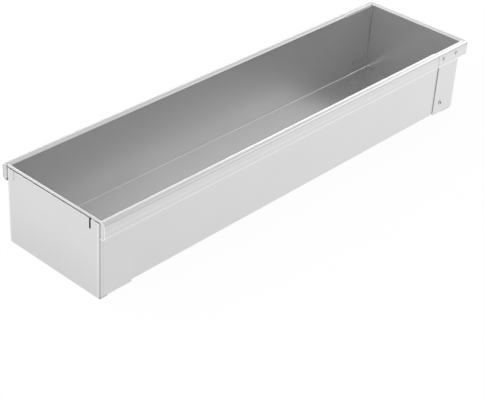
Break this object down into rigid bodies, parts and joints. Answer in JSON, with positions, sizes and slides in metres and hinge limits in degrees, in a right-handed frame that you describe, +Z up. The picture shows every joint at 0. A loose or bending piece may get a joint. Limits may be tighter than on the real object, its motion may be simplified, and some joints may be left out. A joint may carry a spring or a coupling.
{
  "type": "long cheesecake pan with a removable end",
  "caption": "Long, straight-sided sheet-metal cheesecake pan with a hollow rolled rim, a fixed end, and a push-on end that holds a loose plate.",
  "frame": {"origin": "on the resting plane, under the middle of the pan's overall box", "axes": "+X runs along the pan from the removable end to the fixed end, +Z is up out of the open top, and -Y is the long side nearest the camera in the picture"},
  "size_m": [0.6, 0.1566, 0.0935],
  "materials": {
    "satin steel sheet": "satin, with a fine grain along the pan",
    "satin steel end sheet": "satin",
    "plain bar steel": "plain, with only the cut ends in view",
    "rivet steel": "plain domed heads"
  },
  "bodies": {
    "pan_body": {"trough": "satin steel sheet", "end_wall": "satin steel sheet", "near_rim_bar": "plain bar steel", "far_rim_bar": "plain bar steel", "end_rim_bar": "plain bar steel", "near_flap_rivet": "rivet steel", "far_flap_rivet": "rivet steel", "near_rim_rivet_1": "rivet steel", "near_rim_rivet_2": "rivet steel", "far_rim_rivet_1": "rivet steel", "far_rim_rivet_2": "rivet steel"},
    "cap": {"end_cap": "satin steel end sheet"},
    "plate": {"end_plate": "satin steel end sheet"}
  },
  "joints": [
    {"name": "cap_pull_off", "type": "slide", "parent": "pan_body", "child": "cap", "axis": [-1, 0, 0], "range_m": [0, 0.06]},
    {"name": "plate_lift_out", "type": "slide", "parent": "cap", "child": "plate", "axis": [0, 0, 1], "range_m": [0, 0.12]}
  ]
}
